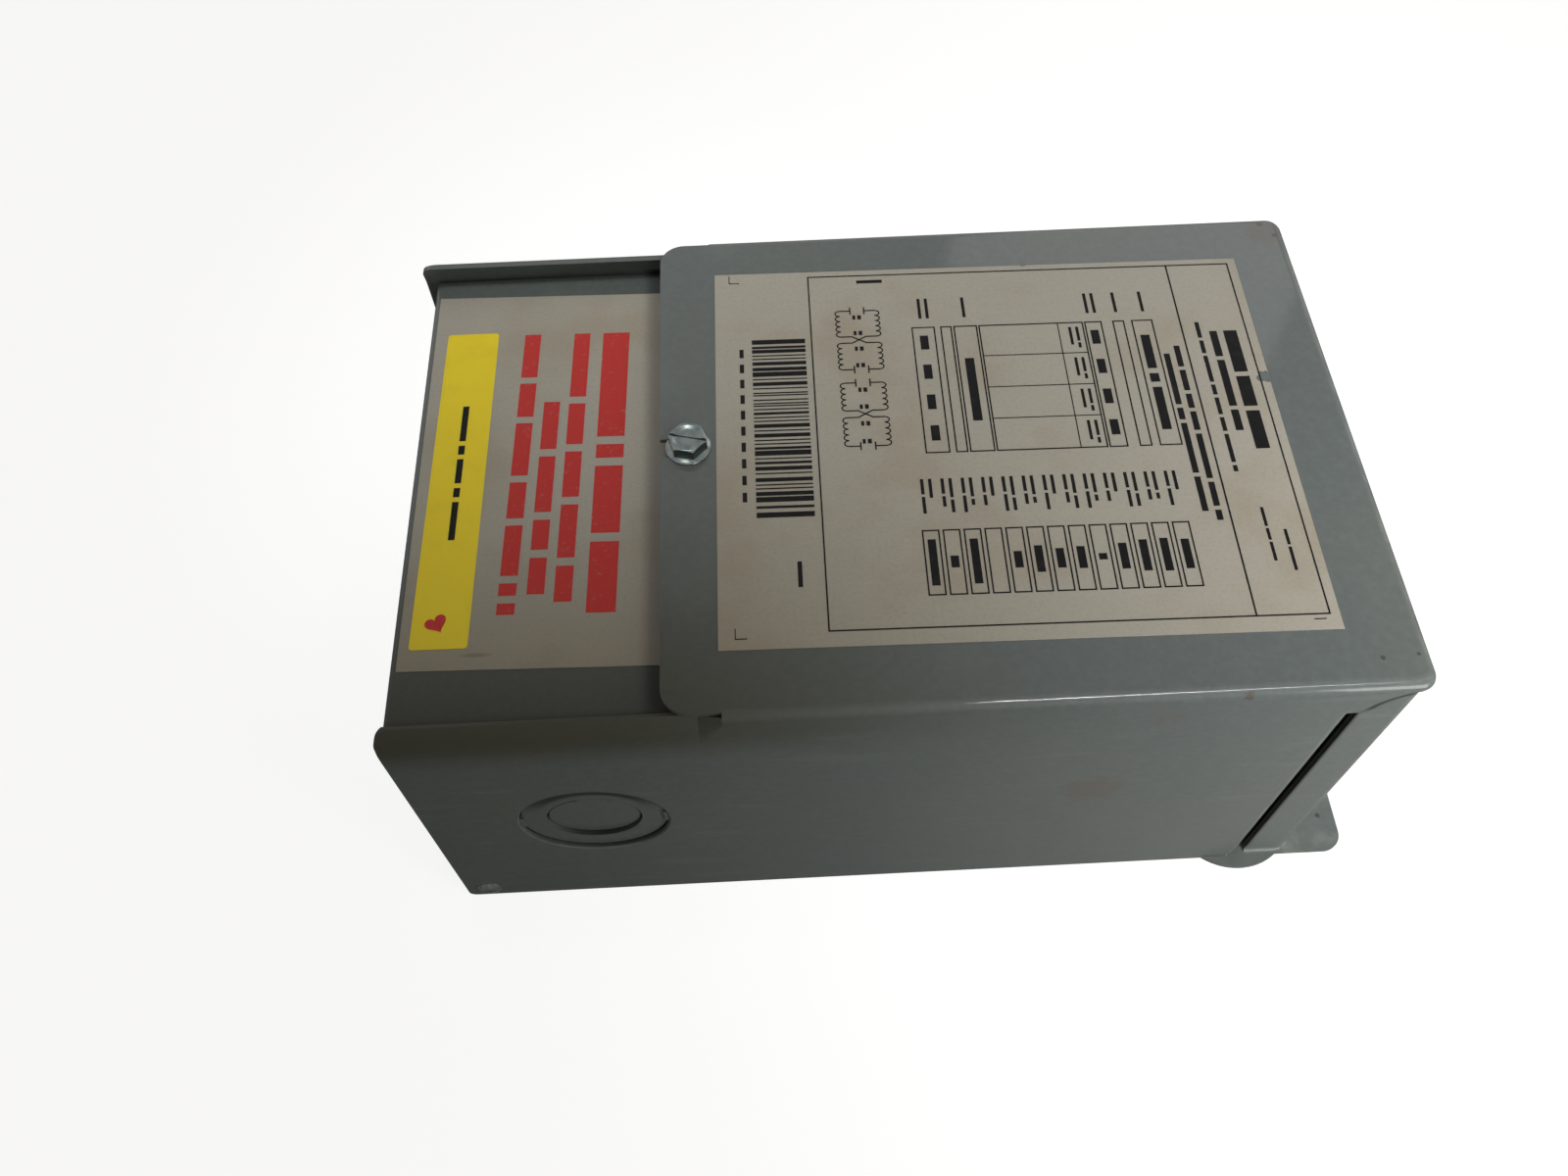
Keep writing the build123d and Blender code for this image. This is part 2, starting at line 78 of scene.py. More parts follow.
class Shade:
    """One output of a finish's nodes. Python's operators on shades add the Math nodes."""

    def __init__(self, tree, socket=None):
        self.tree = tree
        self.socket = socket

    def node(self, kind, settings, sockets, output=0):
        """Adds a node of any kind: first its settings, then the values or links of its sockets."""
        made = self.tree.nodes.new("ShaderNode" + kind)
        for name, setting in settings.items():
            setattr(made, name, setting)
        for name, value in sockets.items():
            if isinstance(value, Shade):
                self.tree.links.new(value.socket, made.inputs[name])
            else:
                made.inputs[name].default_value = value
        return Shade(self.tree, made.outputs[output])

    def maths(self, operation, first, second=0.0):
        return self.node("Math", {"operation": operation}, {0: first, 1: second})

    def __add__(self, other):
        return self.maths("ADD", self, other)

    __radd__ = __add__

    def __sub__(self, other):
        return self.maths("SUBTRACT", self, other)

    def __rsub__(self, other):
        return self.maths("SUBTRACT", other, self)

    def __mul__(self, other):
        return self.maths("MULTIPLY", self, other)

    __rmul__ = __mul__

    def vector(self, operation, other, output=0):
        """Vector Math on these points; output 1 is its number, such as a distance."""
        return self.node("VectorMath", {"operation": operation}, {0: self, 1: other}, output)

    def distance(self, centre):
        return self.vector("DISTANCE", centre, 1)

    def axis(self, index):
        """One coordinate of these points: 0 along, 1 across, 2 up."""
        return self.node("SeparateXYZ", {}, {0: self}, index)

    def noise(self, size, detail=2.0, stretch=(1, 1, 1)):
        """Cloudy noise from 0 to 1 on these points; size is that of its lumps, in metres."""
        points = self.vector("MULTIPLY", stretch)
        return self.node("TexNoise", {}, {"Vector": points, "Scale": 1 / size, "Detail": detail})

    def between(self, low, high):
        """0 where this shade is under low and 1 where it is over high, smooth between."""
        sockets = {"Value": self, "From Min": low, "From Max": high}
        return self.node("MapRange", {"interpolation_type": "SMOOTHSTEP"}, sockets)

    def band(self, start, full, fade, end):
        """0 up to start, 1 from full to fade, and 0 again from end."""
        return self.between(start, full) * (1 - self.between(fade, end))

    def within(self, centre, radius, ragged=0.3):
        """1 at a place on the surface, fading to 0 at the radius, with a ragged outline."""
        torn = self.noise(radius / 2) * ragged * 2 * radius - ragged * radius
        return 1 - (self.distance(centre) + torn).between(radius * 0.5, radius)

    def blend(self, under, over):
        """Under's colour with over's on it where this mask is 1."""
        return self.node("Mix", {"data_type": "RGBA"}, {0: self, 6: under, 7: over}, 2)

    def bump(self, strength, depth):
        """The surface raised by this shade, for a finish's Normal."""
        return self.node("Bump", {}, {"Strength": strength, "Distance": depth, "Height": self})


def finish(name, sockets, dress):
    """A material with its constants on the shader's own sockets, dressed by its pass of nodes."""
    material = bpy.data.materials.new(name)
    material.use_nodes = True
    tree = material.node_tree
    shader = tree.nodes["Principled BSDF"]
    for socket, value in sockets.items():
        shader.inputs[socket].default_value = value
    place = Shade(tree).node("TexCoord", {}, {}, 3)
    for socket, value in dress(place).items():
        tree.links.new(value.socket, shader.inputs[socket])
    return material


def spot(along, across, up):
    """A place on the transformer, given in millimetres."""
    return (along * mm, across * mm, up * mm)


grey = srgb(94, 101, 100)
dust_grey = srgb(109, 110, 99)
grain_grey = srgb(124, 134, 132)
rubbed_grey = srgb(142, 148, 143)
worn_grey = srgb(134, 140, 132)
# nearly black: the dark specks, and also the painted shade in the seams and the lip's painted shadow
grime_and_shade = srgb(24, 21, 17)
stain = srgb(100, 82, 70)
rust = srgb(80, 63, 47)
# colour of the painted shade, with some soil, at the near corner of the wiring end
hand_soil_and_shade = srgb(60, 54, 34)
rust_spot = spot(63.9, -68.0, 97.3)
rust_radius = 1.5 * mm
smudges = [
    (spot(49.8, -68.0, 89.0), 4.5 * mm, 0.16),
    (spot(40.5, -68.0, 52.4), 9.0 * mm, 0.32),
    (spot(98.0, 64.0, 98.2), 7.0 * mm, 0.35),
]
specks = [
    (spot(92.8, -61.0, 98.4), 0.7 * mm),
    (spot(113.4, -58.2, 1.2), 0.9 * mm),
    (spot(100.4, -60.5, 98.2), 0.6 * mm),
    (spot(97.8, 65.5, 98.2), 1.2 * mm),
    (spot(100.6, 61.1, 98.2), 0.9 * mm),
]
sheet = 1.2 * mm
top_bend = case_high.x - 1.4 * mm
bend_wear = 0.9 * mm
inner_side = case_high.y - sheet
lip_edge = case_low.x + 61.8 * mm
cover_face = case_high.z - 9.0 * mm
joint_start = 88.9 * mm
joint_end = 91.1 * mm
joint_top = 88.0 * mm
skirt_centre = spot(103.9, 0, 82.0)
skirt_radius = 14.6 * mm
knockout_centre = spot(-75.9, 0, 47.4)
ring_radius = 17.4 * mm
disc_radius = 11.1 * mm


def corner_shade_and_soil(place):
    """1 at the near corner of the wiring end, fading away from it: painted shade over that corner, with
    some soil from hands and dust in it.
    """
    on_near_side = 1 - place.axis(1).between(-75 * mm, 5 * mm)
    at_wiring_end = 1 - place.axis(0).between(-75 * mm, 45 * mm)
    return at_wiring_end * on_near_side * (place.axis(2).between(78 * mm, 92 * mm) * 0.75 + 0.25)


def seam_shade(place):
    """Painted shade between sheets: beside the near panel, the lip's shadow on the cover, in the end
    cap's joint, under the skirt's edge and in the pressed knockouts."""
    along = place.axis(0)
    across = place.axis(1)
    up = place.axis(2)
    aside = across.maths("ABSOLUTE", across)
    side_view = place.vector("MULTIPLY", (1, 0, 1))
    outside = aside.between(inner_side - 1.5 * mm, inner_side - 0.5 * mm)

    on_cover = up.band(
        cover_face - 7.4 * mm, cover_face - 4.4 * mm, cover_face + 0.6 * mm, cover_face + 1.6 * mm
    )
    on_cover = on_cover * (1 - aside.between(inner_side, inner_side + 0.4 * mm))
    on_cover = on_cover * (1 - along.between(lip_edge + 4.0 * mm, lip_edge + 8.0 * mm))
    # painted shade on the cover beside the near panel
    panel_shade = (1 - across.between(3.0 * mm - inner_side, 7.5 * mm - inner_side)) * on_cover
    # painted shadow of the lip on the cover
    lip_shadow = along.between(lip_edge - 6.0 * mm, lip_edge - 1.5 * mm) * on_cover

    # painted shade in the end cap's joint and on the ear below it
    joint = along.band(joint_start - 0.9 * mm, joint_start, joint_end, joint_end + 1.0 * mm)
    joint = joint * outside * up.band(1.5 * mm, 4.0 * mm, joint_top - 2.0 * mm, joint_top)

    # painted shade on the end cap's flange under the skirt's edge
    span = side_view.distance(skirt_centre)
    skirt = span.band(
        skirt_radius - 4.2 * mm, skirt_radius - 3.4 * mm, skirt_radius, skirt_radius + 0.3 * mm
    )
    skirt = skirt * outside * (1 - along.between(skirt_centre[0] - 1.5 * mm, skirt_centre[0]))
    skirt = skirt * up.between(skirt_centre[2] + 2.0 * mm, skirt_centre[2] + 5.0 * mm)

    # painted shade in the knockouts: under the hole's upper edge and under the ring's and disc's lower
    # edges
    span = side_view.distance(knockout_centre)
    hole_end = ring_radius + 0.4 * mm
    ring_top = span.band(ring_radius - 4.8 * mm, ring_radius - 3.2 * mm, ring_radius, hole_end)
    ring_foot = span.band(ring_radius - 0.9 * mm, ring_radius, ring_radius, hole_end)
    disc = span.band(disc_radius - 0.6 * mm, disc_radius, disc_radius, disc_radius + 1.0 * mm)
    level = up - knockout_centre[2]
    above = level.between(3 * mm, 12 * mm)
    below = 1 - level.between(-12 * mm, -3 * mm)
    pressed = ring_top * above + ring_foot * below * 0.6 + disc * below
    return panel_shade, lip_shadow, joint, skirt, pressed


seam_shade_strengths = (0.7, 0.6, 0.8, 0.8, 0.75)


def grey_enamel(place):
    """Grey baked enamel: cloudy dust, rubbed bends, specks, smudges and one rust spot, with painted
    shade in the seams and, with some soil, over the near corner of the wiring end.
    """
    clouds = place.noise(60 * mm, 4)
    mottle = place.noise(1.6 * mm)
    rubs = place.noise(5 * mm, 3, (0.15, 0.15, 1)).between(0.58, 0.72)
    worn = place.axis(0).between(top_bend - bend_wear, top_bend)
    worn = worn * place.noise(9 * mm, 4).between(0.42, 0.62)
    colour = (clouds.between(0.35, 0.75) * 0.35).blend(grey, dust_grey)
    colour = (mottle.between(0.3, 0.8) * 0.16).blend(colour, grain_grey)
    colour = (rubs * 0.10).blend(colour, rubbed_grey)
    colour = (worn * 0.45).blend(colour, worn_grey)
    for centre, radius, strength in smudges:
        colour = (place.within(centre, radius, 0.6) * strength).blend(colour, stain)
    for centre, radius in specks:
        colour = (place.within(centre, radius) * 0.6).blend(colour, grime_and_shade)
    colour = (place.within(rust_spot, rust_radius, 0.9) * 0.6).blend(colour, rust)
    # painted shade, with some soil, over the near corner of the wiring end; the coat is thinned there too
    soil = corner_shade_and_soil(place)
    colour = (soil * 0.7).blend(colour, hand_soil_and_shade)
    gloss = 0.55 - soil * 0.5
    # painted shade in the seams, which also takes the coat away there
    for shaded_seam, strength in zip(seam_shade(place), seam_shade_strengths):
        colour = (shaded_seam * strength).blend(colour, grime_and_shade)
        gloss = gloss * (1 - shaded_seam)
    pebbles = place.noise(0.9 * mm, 1).bump(0.12, 0.1 * mm)
    roughness = clouds * 0.12 + mottle * 0.06 + 0.40
    return {"Base Color": colour, "Roughness": roughness, "Coat Weight": gloss, "Normal": pebbles}


enamel_gloss = {"Specular IOR Level": 0.12, "Coat Roughness": 0.08}
case_paint = finish("grey_enamel", enamel_gloss, grey_enamel)


def paint(node, material):
    """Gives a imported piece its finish."""
    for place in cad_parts[node].material_slots:
        place.material = material


paint("case_wrapper", case_paint)

# Knockouts: a disc in a ring, sheared out of each side and held by small ties, ready to be struck
# out for conduit. They were sprayed with the case, so they carry the same enamel.
for side_name in ("near", "far"):
    paint(side_name + "_knockout_ring", case_paint)
    paint(side_name + "_knockout_disc", case_paint)

# Back plate: the shallow folded pan between the sides, with two of the four wall slots. It is of
# the same sheet and paint as the case.
paint("back_plate", case_paint)

# End cap: the pressed end wall with its side flanges, ears and mounting tab. It stands between the
# sides with a joint at each, and is sprayed like the case.
paint("end_cap", case_paint)

# Compartment cover: the strip of folded sheet that closes the wiring compartment, with its end
# wall in one piece. It slips under the lip of the case and is sprayed like it.
paint("compartment_cover", case_paint)

# Potted core: the core and coils, cast in one block of resin and quartz sand. Only the joint beside
# the end cap and the wall slots let any of it show.
resin_black = srgb(34, 32, 30)
sand_brown = srgb(74, 68, 58)


def resin_and_sand(place):
    """Nearly black resin with grains of sand at its skin."""
    grains = place.noise(0.7 * mm)
    colour = (grains.between(0.5, 0.75) * 0.6).blend(resin_black, sand_brown)
    skin = grains.bump(0.6, 0.15 * mm)
    return {"Base Color": colour, "Roughness": grains * 0.3 + 0.35, "Normal": skin}


paint("potted_core", finish("potting_resin", {}, resin_and_sand))

# Cover screw: a zinc-plated screw with a slotted hexagon head that is dished on top and stands on
# its own washer face. It clamps the lip of the case to the cover's flange.
screw_low, screw_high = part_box("cover_screw")
screw_x = (screw_low.x + screw_high.x) / 2
screw_y = (screw_low.y + screw_high.y) / 2
screw_seat = case_high.z
screw_turn = math.radians(-14)
washer_radius = (screw_high.x - screw_low.x) / 2
washer_edge = 0.15 * mm
hexagon_flat = 3.95 * mm
hexagon_base = 0.9 * mm
hexagon_top = screw_high.z - screw_seat
chamfer_slope = math.tan(math.radians(30))
chamfer_depth = 0.1 * mm
dish_radius = 3.05 * mm
dish_depth = 0.35 * mm
slot_width = 0.7 * mm
slot_depth = 0.6 * mm
head_steps = 96
thread_radius = 2.4 * mm
thread_depth = 0.45 * mm
thread_pitch = 1.4 * mm
thread_end = screw_low.z - screw_seat
thread_rows = 72
thread_steps = 24
tip_share = 0.55
tip_length = 3 * mm


def hexagon_radius(angle):
    """Distance from the axis to the hexagon's outline in one direction."""
    sector = math.radians(60)
    return hexagon_flat / math.cos((angle % sector) - sector / 2)


def turned_mesh(name, rings, steps):
    """A closed mesh of rings: each ring gives, for an angle, its radius and height."""
    shape = bmesh.new()
    rows = []
    for ring in rings:
        row = []
        for step in range(steps):
            angle = 2 * math.pi * step / steps
            radius, height = ring(angle)
            row.append(shape.verts.new((radius * math.cos(angle), radius * math.sin(angle), height)))
        rows.append(row)
    for lower, upper in zip(rows, rows[1:]):
        for step in range(steps):
            after = (step + 1) % steps
            shape.faces.new((lower[step], lower[after], upper[after], upper[step]))
    shape.faces.new(list(reversed(rows[0])))
    shape.faces.new(rows[-1])
    bmesh.ops.recalc_face_normals(shape, faces=shape.faces)
    mesh = bpy.data.meshes.new(name)
    shape.to_mesh(mesh)
    shape.free()
    return mesh


def put_in_scene(name, mesh, material=None, smooth_under=None):
    """An object for a mesh, with its finish and, for turned pieces, smooth shading."""
    piece = bpy.data.objects.new(name, mesh)
    bpy.context.scene.collection.objects.link(piece)
    if material:
        mesh.materials.append(material)
    if smooth_under is not None:
        for face in mesh.polygons:
            face.use_smooth = True
        mesh.set_sharp_from_angle(angle=math.radians(smooth_under))
    return piece


def round_ring(radius, height):
    return lambda angle: (radius, height)


def hexagon_ring(height):
    return lambda angle: (hexagon_radius(angle), height)


def chamfered_ring(angle):
    """The head's upper edge: round where the corners are turned off at 30 degrees."""
    radius = hexagon_radius(angle)
    return radius, hexagon_top - max(0.0, radius - hexagon_flat + chamfer_depth) * chamfer_slope


head_rings = [
    round_ring(thread_radius, 0),
    round_ring(washer_radius - washer_edge, 0),
    round_ring(washer_radius, washer_edge),
    round_ring(washer_radius, 0.4 * mm),
    round_ring(washer_radius - washer_edge, 0.52 * mm),
    round_ring(washer_radius - 0.5 * mm, 0.62 * mm),
    hexagon_ring(hexagon_base),
    hexagon_ring(hexagon_base + 0.15 * mm),
    chamfered_ring,
    round_ring(hexagon_flat - 0.12 * mm, hexagon_top),
    round_ring(dish_radius + 0.35 * mm, hexagon_top),
    round_ring(dish_radius, hexagon_top - dish_depth * 0.6),
    round_ring(dish_radius * 0.7, hexagon_top - dish_depth),
    round_ring(dish_radius * 0.1, hexagon_top - dish_depth),
]
screw_head = put_in_scene("screw_head", turned_mesh("screw_head", head_rings, head_steps))
slot_cut = bmesh.new()
bmesh.ops.create_cube(slot_cut, size=1)
bmesh.ops.scale(slot_cut, vec=(4 * hexagon_flat, slot_width, 2 * slot_depth), verts=slot_cut.verts)
bmesh.ops.translate(slot_cut, vec=(0, 0, hexagon_top), verts=slot_cut.verts)
slot_mesh = bpy.data.meshes.new("driver_slot")
slot_cut.to_mesh(slot_mesh)
slot_cut.free()
slot_tool = put_in_scene("driver_slot", slot_mesh)
slotting = screw_head.modifiers.new("slotting", "BOOLEAN")
slotting.operation = "DIFFERENCE"
slotting.object = slot_tool
slotted_head = screw_head.evaluated_get(bpy.context.evaluated_depsgraph_get())
head_mesh = bpy.data.meshes.new_from_object(slotted_head)
bpy.data.objects.remove(slot_tool)
bpy.data.objects.remove(screw_head)
seat_place = Matrix.Translation((screw_x, screw_y, screw_seat))
head_mesh.transform(seat_place @ Matrix.Rotation(screw_turn, 4, "Z"))


def thread_ring(height):
    """One ring of the shank, its radius following the thread's helix and tapering to the tip."""
    taper = min(1.0, tip_share + (height - thread_end) / tip_length)

    def ring(angle):
        turn = (height / thread_pitch - angle / (2 * math.pi)) % 1.0
        crest = 1 - abs(2 * turn - 1)
        return (thread_radius - thread_depth * (1 - crest)) * taper, height

    return ring


thread_rings = [thread_ring(thread_end * row / thread_rows) for row in range(thread_rows + 1)]
shank_mesh = turned_mesh("screw_shank", thread_rings, thread_steps)
shank_mesh.transform(seat_place)


def zinc_plate(place):
    """Bright zinc with faint drawing lines, a blue passivated tint and dull patches."""
    patches = place.noise(2.5 * mm, 3)
    colour = patches.between(0.35, 0.7).blend(srgb(112, 118, 114), srgb(88, 96, 98))
    lines = place.noise(0.25 * mm).bump(0.15, 0.02 * mm)
    return {"Base Color": colour, "Roughness": patches * 0.2 + 0.14, "Normal": lines}


zinc = finish("zinc_plate", {"Metallic": 1.0}, zinc_plate)
head = put_in_scene("cover_screw_head", head_mesh, zinc, 35)
shank = put_in_scene("cover_screw_thread", shank_mesh, zinc, 60)
for piece in (head, shank):
    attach(piece, "root")
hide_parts("cover_screw")
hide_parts("cover_screw")

# Rivets: one blind rivet of plain steel in the lower corner of each side holds it to the back
# plate. They were set after the paint and have gone dull.


def dull_steel(place):
    """Dull steel with grey bloom."""
    bloom = place.noise(1.2 * mm, 3)
    colour = bloom.between(0.3, 0.7).blend(srgb(150, 156, 152), srgb(112, 118, 114))
    return {"Base Color": colour, "Roughness": bloom * 0.25 + 0.35}


rivet_steel = finish("dull_steel", {"Metallic": 0.7}, dull_steel)
paint("near_rivet", rivet_steel)
paint("far_rivet", rivet_steel)

# Rating label: a printed film sticker on the front panel, yellowed, dusty and torn at two edges.
# Its black print is ruled boxes, two pairs of coils, rows of plain bars and one row of tall bars.
label_low, label_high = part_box("rating_label")
label_centre = (label_low + label_high) / 2
label_turn = math.radians(-0.8)
label_length = 130.7 * mm
label_width = 107.3 * mm
ink_height = 0.05 * mm


class Print:
    """Ink laid on a label. Places are u and v in millimetres from the corner where printing starts."""

    def __init__(self, name, centre, turn, surface, start_u, start_v):
        self.name = name
        self.shape = bmesh.new()
        self.place = Matrix.Translation((centre.x, centre.y, surface)) @ Matrix.Rotation(turn, 4, "Z")
        self.start = Vector((start_v, start_u))

    def patch(self, outline):
        """A flat raised patch of ink with this outline of (u, v) points, wound either way."""
        rise = Vector((0, 0, ink_height))
        points = [Vector((self.start.x - v * mm, self.start.y - u * mm, 0)) for u, v in outline]
        base = [self.shape.verts.new(self.place @ point) for point in points]
        crown = [self.shape.verts.new(self.place @ (point + rise)) for point in points]
        count = len(outline)
        for index in range(count):
            after = (index + 1) % count
            self.shape.faces.new((base[index], base[after], crown[after], crown[index]))
        self.shape.faces.new(base)
        self.shape.faces.new(crown)

    def bar(self, u1, v1, u2, v2):
        self.patch([(u1, v1), (u2, v1), (u2, v2), (u1, v2)])

    def box(self, u1, v1, u2, v2, line):
        """Four ruled lines round a box."""
        self.bar(u1, v1, u2, v1 + line)
        self.bar(u1, v2 - line, u2, v2)
        self.bar(u1, v1 + line, u1 + line, v2 - line)
        self.bar(u2 - line, v1 + line, u2, v2 - line)

    def row(self, u1, u2, v, height, lengths, gap):
        """A row of plain bars from u1 to u2, their lengths repeated until it is full."""
        u = u1
        index = 0
        while u < u2 - gap:
            end = min(u2, u + lengths[index % len(lengths)])
            self.bar(u, v, end, v + height)
            u = end + gap
            index += 1

    def stroke(self, points, line):
        """A drawn line through (u, v) points, as one raised strip for each run."""
        overlap = 0.4
        for first, second in zip(points, points[1:]):
            start = Vector(first)
            end = Vector(second)
            ahead = (end - start).normalized() * line / 2
            aside = Vector((-ahead.y, ahead.x))
            start = start - ahead * overlap
            end = end + ahead * overlap
            self.patch([tuple(start + aside), tuple(end + aside), tuple(end - aside), tuple(start - aside)])

    def piece(self, material, slot):
        bmesh.ops.recalc_face_normals(self.shape, faces=self.shape.faces)
        mesh = bpy.data.meshes.new(self.name)
        self.shape.to_mesh(mesh)
        self.shape.free()
        made = put_in_scene(self.name, mesh, material)
        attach(made, "root")
        return made


rating_print = Print(
    "rating_print", label_centre, label_turn, label_high.z, label_width / 2, label_length / 2
)
frame_line = 0.36
ruled_line = 0.34
fine_line = 0.25
coil_line = 0.3

# ruled frame, header line and corner ticks
tick_length = 2.6
rating_print.box(1.6, 2.0, 103.7, 107.6, frame_line)
rating_print.bar(1.9, 17.4, 103.4, 17.8)
rating_print.bar(104.6, 3.2, 104.6 + fine_line, 3.2 + tick_length)
for tick_u, tick_v in ((104.6, 124.6), (3.0, 124.6)):
    rating_print.bar(tick_u, tick_v, tick_u + fine_line, tick_v + tick_length)
    rating_print.bar(tick_u - 2.4, tick_v + 2.4, tick_u, tick_v + tick_length)

# header: three rows of bars, the first one bold, and two short rows beside them
rating_print.row(24, 60, 4.6, 3.2, (13, 9, 11), 1.4)
rating_print.row(24, 56, 9.4, 1.8, (8, 14, 6), 1.2)
rating_print.row(21, 66, 13.2, 1.0, (5, 4, 8, 3), 0.9)
rating_print.row(82, 93, 6.2, 0.7, (4, 6), 0.6)
rating_print.row(76, 90, 10.0, 0.7, (5, 3), 0.6)

# two title rows
rating_print.row(28.3, 79.0, 19.3, 1.4, (6.5, 6.2, 4.2, 5.4, 12.6), 1.1)
rating_print.row(30.7, 76.5, 22.1, 1.4, (15.5, 3.4, 14.2), 1.1)

# left column: boxes and a ruled table of four cells, with short rows in and beside them
left_start = 19.6
left_end = 58.0
table_top = 41.2
table_foot = 66.7
cell_lines = (left_start, 29.3, 39.0, 48.4, left_end)
for top, foot in ((24.2, 29.4), (31.1, 34.0), (36.6, 40.9), (67.0, 72.8), (73.2, 76.0), (77.3, 83.0)):
    rating_print.box(left_start, top, left_end, foot, ruled_line)
rating_print.box(left_start, table_top, left_end, table_foot, ruled_line)
rating_print.bar(left_start, 47.3, left_end, 47.3 + fine_line)
for line in cell_lines[1:-1]:
    rating_print.bar(line, table_top, line + fine_line, table_foot)
for cell in cell_lines[:-1]:
    rating_print.row(cell + 1.6, cell + 8.2, 42.6, 0.7, (4.4,), 0.6)
    rating_print.row(cell + 1.6, cell + 8.2, 44.3, 0.7, (5.6,), 0.6)
rating_print.row(24.5, 53.5, 25.8, 2.2, (10.5, 2.6, 12.6), 1.6)
for start in (22.4, 31.6, 40.8, 50.0):
    rating_print.bar(start, 37.8, start + 4.4, 39.8)
    rating_print.bar(start, 79.2, start + 4.4, 81.2)
rating_print.row(30.0, 49.0, 68.9, 2.2, (19,), 1.0)
for row_v in (25.6, 32.2, 37.4, 39.2, 69.4, 78.4, 80.2):
    rating_print.row(10.3, 16.8, row_v, 0.75, (6.5,), 0.5)

# right column: thirteen boxes, each with a short bar in it and two short rows beside it
box_start = 79.0
box_end = 95.8
box_middle = (box_start + box_end) / 2
box_top = 27.0
box_pitch = 4.58
box_height = 3.9
box_bars = (7.6, 8.4, 8.0, 6.6, 1.6, 5.6, 5.0, 6.8, 4.2, 0, 11.5, 3.0, 11.8)
for index, length in enumerate(box_bars):
    top = box_top + box_pitch * index
    rating_print.box(box_start, top, box_end, top + box_height, ruled_line)
    if length:
        rating_print.bar(box_middle - length / 2, top + 1.05, box_middle + length / 2, top + 2.85)
    rating_print.row(65.2, 70.5 + 2.2 * (index % 3), top + 0.5, 0.75, (5.2, 3.4), 0.7)
    rating_print.row(65.2, 74.6 - 1.7 * (index % 2), top + 2.3, 0.75, (4.2, 4.8), 0.7)

# two pairs of coils, each pair joined by crossing leads, with bars at its terminals
coil_turns = 5
coil_pitch = 1.68
coil_rise = 1.1
coil_length = coil_turns * coil_pitch
coil_spacing = 10.4
coil_rows = ((91.6, 1), (100.2, -1))
lead_length = 2.6
lead_v = (94.2, 97.6)
arc_steps = 6


def winding(u, v, rise):
    """Points along a coil's symbol: a row of half circles."""
    points = [(u, v)]
    for turn in range(coil_turns):
        for step in range(1, arc_steps + 1):
            angle = math.pi * step / arc_steps
            ahead = coil_pitch * (turn + 0.5 - 0.5 * math.cos(angle))
            points.append((u + ahead, v + rise * math.sin(angle)))
    return points


for left in (13.6, 36.5):
    right = left + coil_spacing
    for row_v, direction in coil_rows:
        for coil in (left, right):
            rating_print.stroke(winding(coil, row_v, -coil_rise * direction), coil_line)
    for row_v, direction in coil_rows:
        for coil in (left, right):
            for end in (coil, coil + coil_length):
                rating_print.stroke([(end, row_v), (end, row_v + lead_length * direction)], ruled_line)
    for first, second in ((left + coil_length, right), (right, left + coil_length)):
        rating_print.stroke([(first, lead_v[0]), (second, lead_v[1])], ruled_line)
    for end in (left, right + coil_length):
        for row_v in lead_v:
            rating_print.stroke([(end - 1.1, row_v), (end + 1.1, row_v)], ruled_line)
    for terminal in (left + 1.5, left + 6.6, left + 11.6, left + 16.8):
        rating_print.bar(terminal, 95.0, terminal + 1.3, 95.9)
        rating_print.bar(terminal, 96.4, terminal + 1.3, 97.1)

# a row of tall bars of chance widths, with a dash under each group
tall_end = 73.0
dash_pitch = 4.7
dash_length = 2.6
chance = random.Random(5)
edge = 22.1
while edge < tall_end:
    bar_width = chance.choice((0.35, 0.35, 0.7, 1.05, 1.4))
    rating_print.bar(edge, 109.0, edge + bar_width, 121.9)
    edge += bar_width + chance.choice((0.35, 0.7, 0.7, 1.05))
for group in range(10):
    dash = 25.0 + dash_pitch * group
    rating_print.bar(dash, 123.9, dash + dash_length, 124.9)
rating_print.bar(86.0, 112.4, 92.5, 113.4)
rating_print.row(3.4, 4.4, 89.0, 6.4, (1.0,), 1.0)


def black_ink(place):
    """Black printing ink, rubbed thin in places."""
    rubbed = place.noise(3 * mm, 3)
    colour = rubbed.between(0.5, 0.8).blend(srgb(14, 13, 14), srgb(34, 31, 29))
    return {"Base Color": colour, "Roughness": rubbed * 0.2 + 0.45}


label_ink = finish("black_ink", {"Specular IOR Level": 0.1}, black_ink)
rating_print.piece(label_ink, "label_film")

film = srgb(173, 168, 155)
film_stain = srgb(148, 134, 108)
film_grain = srgb(132, 126, 112)
film_streak = srgb(186, 180, 164)
film_soil_and_shade = srgb(108, 94, 62)
torn_edge = srgb(72, 62, 46)
torn_places = [
    (spot(34.6, 56.4, 98.5), 2.6 * mm),
    (spot(38.8, 57.2, 98.5), 2.8 * mm),
    (spot(86.6, 14.6, 98.5), 1.8 * mm),
]


